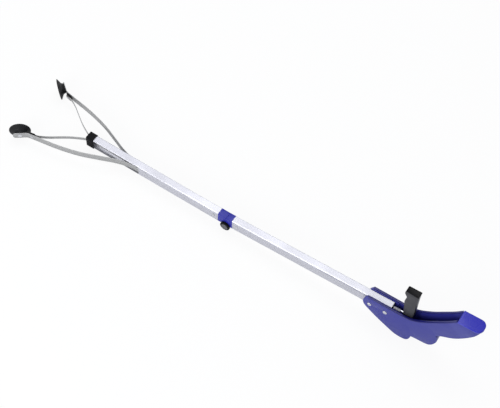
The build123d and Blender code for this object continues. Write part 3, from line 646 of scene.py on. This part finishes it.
def trigger_piece():
    """The lever with its edges eased and its end face sunk in a frame."""
    work = cad_copy("trigger")
    up = REAR.to_3x3() @ Vector((0, 0, 1))
    end_face = max(work.faces, key=lambda face: face.calc_center_median().dot(up))
    bmesh.ops.inset_region(work, faces=[end_face], thickness=END_FRAME)
    bmesh.ops.translate(work, vec=-up * END_SINK, verts=end_face.verts)
    ease_edges(work, LEVER_EDGE, 35, 2)
    split_large_faces(work)
    limit = max(vert.co.dot(up) for vert in work.verts) - END_BAND
    tops = [face.index for face in work.faces if face.calc_center_median().dot(up) > limit]
    piece = finished("trigger_lever", work, lever, "trigger", ["trigger"], smooth=50.0)
    piece.data.materials.append(lever_end)
    for index in tops:
        piece.data.polygons[index].material_index = 1


def handle_parts():
    """Shell, lid, rims, lever and both springs."""
    softened("handle_shell", 0.0007, blue, "handle")
    softened("end_cap", 0.0004, lid_lit_blue, "handle")
    rim_bands()
    trigger_piece()
    coil("trigger_coil", REAR @ Vector(TRIGGER_COIL[0]), REAR @ Vector(TRIGGER_COIL[1]), 0.0019,
         0.0004, 7, coil_white, ["trigger_spring"])
    low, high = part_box("button_spring")
    coil("button_coil", Vector((PIVOT.x, high.y, PIVOT.z)), Vector((PIVOT.x, low.y, PIVOT.z)), 0.0031,
         0.0003, 3, plated, ["button_spring"])


shafts()
jaws()
fold_parts()
handle_parts()


# ---- stage -----------------------------------------------------------------------------
FLOOR_WHITE = 0.9       # share of plain white in what the camera sees of the floor
EYE = (0.3987, -0.7674, 1.4855)
LOOK_DEGREES = (116.476, -58.231, 7.448)    # yaw, pitch and roll
LENS = 79.2


def stage_floor():
    """Pale floor that keeps the object's shadow."""
    mesh = bpy.data.meshes.new("floor")
    work = bmesh.new()
    bmesh.ops.create_grid(work, x_segments=1, y_segments=1, size=8.0)
    work.to_mesh(mesh)
    work.free()
    floor = bpy.data.objects.new("floor", mesh)
    bpy.context.scene.collection.objects.link(floor)
    floor.location = (0, 0, -0.0006)
    material, tree, shader = blank("paper_floor")
    shader.inputs["Base Color"].default_value = (0.9, 0.9, 0.9, 1)
    shader.inputs["Roughness"].default_value = 0.9
    glow = node(tree, "ShaderNodeEmission")
    path = node(tree, "ShaderNodeLightPath")
    share = node(tree, "ShaderNodeMath", operation="MULTIPLY")
    share.inputs[1].default_value = FLOOR_WHITE
    mix = node(tree, "ShaderNodeMixShader")
    link(tree, path.outputs["Is Camera Ray"], share.inputs[0])
    link(tree, share.outputs["Value"], mix.inputs["Fac"])
    link(tree, shader.outputs["BSDF"], mix.inputs[1])
    link(tree, glow.outputs["Emission"], mix.inputs[2])
    link(tree, mix.outputs["Shader"], tree.nodes["Material Output"].inputs["Surface"])
    floor.data.materials.append(material)


def area_light(name, place, size, power, aim=(0, 0, 0.02)):
    data = bpy.data.lights.new(name, "AREA")
    data.energy = power
    data.size = size
    lamp = bpy.data.objects.new(name, data)
    lamp.location = place
    lamp.rotation_euler = (Vector(aim) - Vector(place)).to_track_quat("-Z", "Y").to_euler()
    bpy.context.scene.collection.objects.link(lamp)


def soft_world():
    """Soft daylight all round, seen as white by the camera."""
    world = bpy.data.worlds.new("studio")
    world.use_nodes = True
    tree = world.node_tree
    ground = tree.nodes["Background"]
    ground.inputs["Color"].default_value = (0.9, 0.93, 1.0, 1)
    ground.inputs["Strength"].default_value = 0.55
    seen = node(tree, "ShaderNodeBackground")
    seen.inputs["Color"].default_value = (1, 1, 1, 1)
    seen.inputs["Strength"].default_value = 1.0
    path = node(tree, "ShaderNodeLightPath")
    mix = node(tree, "ShaderNodeMixShader")
    link(tree, path.outputs["Is Camera Ray"], mix.inputs["Fac"])
    link(tree, ground.outputs["Background"], mix.inputs[1])
    link(tree, seen.outputs["Background"], mix.inputs[2])
    link(tree, mix.outputs["Shader"], tree.nodes["World Output"].inputs["Surface"])
    bpy.context.scene.world = world


def look_camera():
    """Camera above the handle's end and to the near side, rolled a little."""
    yaw, pitch, roll = (math.radians(angle) for angle in LOOK_DEGREES)
    ahead = Vector((math.cos(pitch) * math.cos(yaw), math.cos(pitch) * math.sin(yaw), math.sin(pitch)))
    data = bpy.data.cameras.new("camera")
    data.sensor_width = 36.0
    data.lens = LENS
    camera = bpy.data.objects.new("camera", data)
    turn = ahead.to_track_quat("-Z", "Y").to_matrix().to_4x4()
    camera.matrix_world = Matrix.Translation(EYE) @ turn @ Matrix.Rotation(roll, 4, "Z")
    bpy.context.scene.collection.objects.link(camera)
    bpy.context.scene.camera = camera


stage_floor()
soft_world()
area_light("key", (-0.5, 0.6, 1.8), 1.2, 13.0)
area_light("fill", (0.9, -1.2, 1.4), 1.6, 4.0)
area_light("edge", (-0.4, -1.5, 0.8), 1.0, 14.0)
look_camera()
bpy.context.scene.view_settings.view_transform = "Standard"
